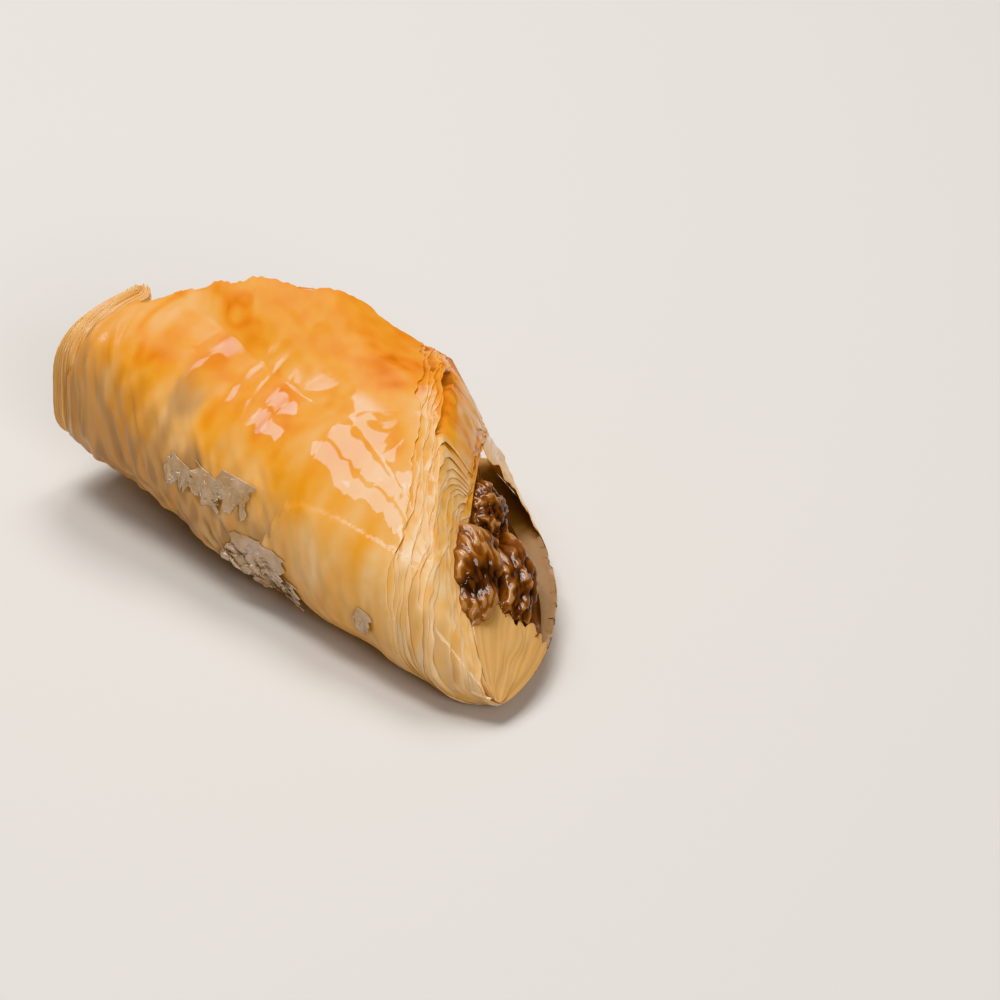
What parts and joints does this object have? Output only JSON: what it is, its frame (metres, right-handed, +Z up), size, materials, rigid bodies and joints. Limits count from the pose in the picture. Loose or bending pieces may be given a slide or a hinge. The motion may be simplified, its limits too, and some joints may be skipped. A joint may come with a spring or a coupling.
{
  "type": "baklava piece",
  "caption": "Walnut baklava: a square of stacked filo sheets folded corner to corner over walnuts, golden and glossy on top, with stepped flaky edges that gape open over the filling.",
  "frame": {"origin": "middle of the box's underside, which is the face the piece rests on", "axes": "+X along the fold towards the low tip, +Y from the fold towards the corner opposite it, +Z up"},
  "size_m": [0.0944, 0.0552, 0.0381],
  "materials": {
    "filo_pastry": "glossy syrup over baked filo",
    "walnut_filling": "syrup-coated walnut"
  },
  "bodies": {
    "root": {"filo_pastry": "filo_pastry", "walnut_filling": "walnut_filling"}
  },
  "joints": []
}
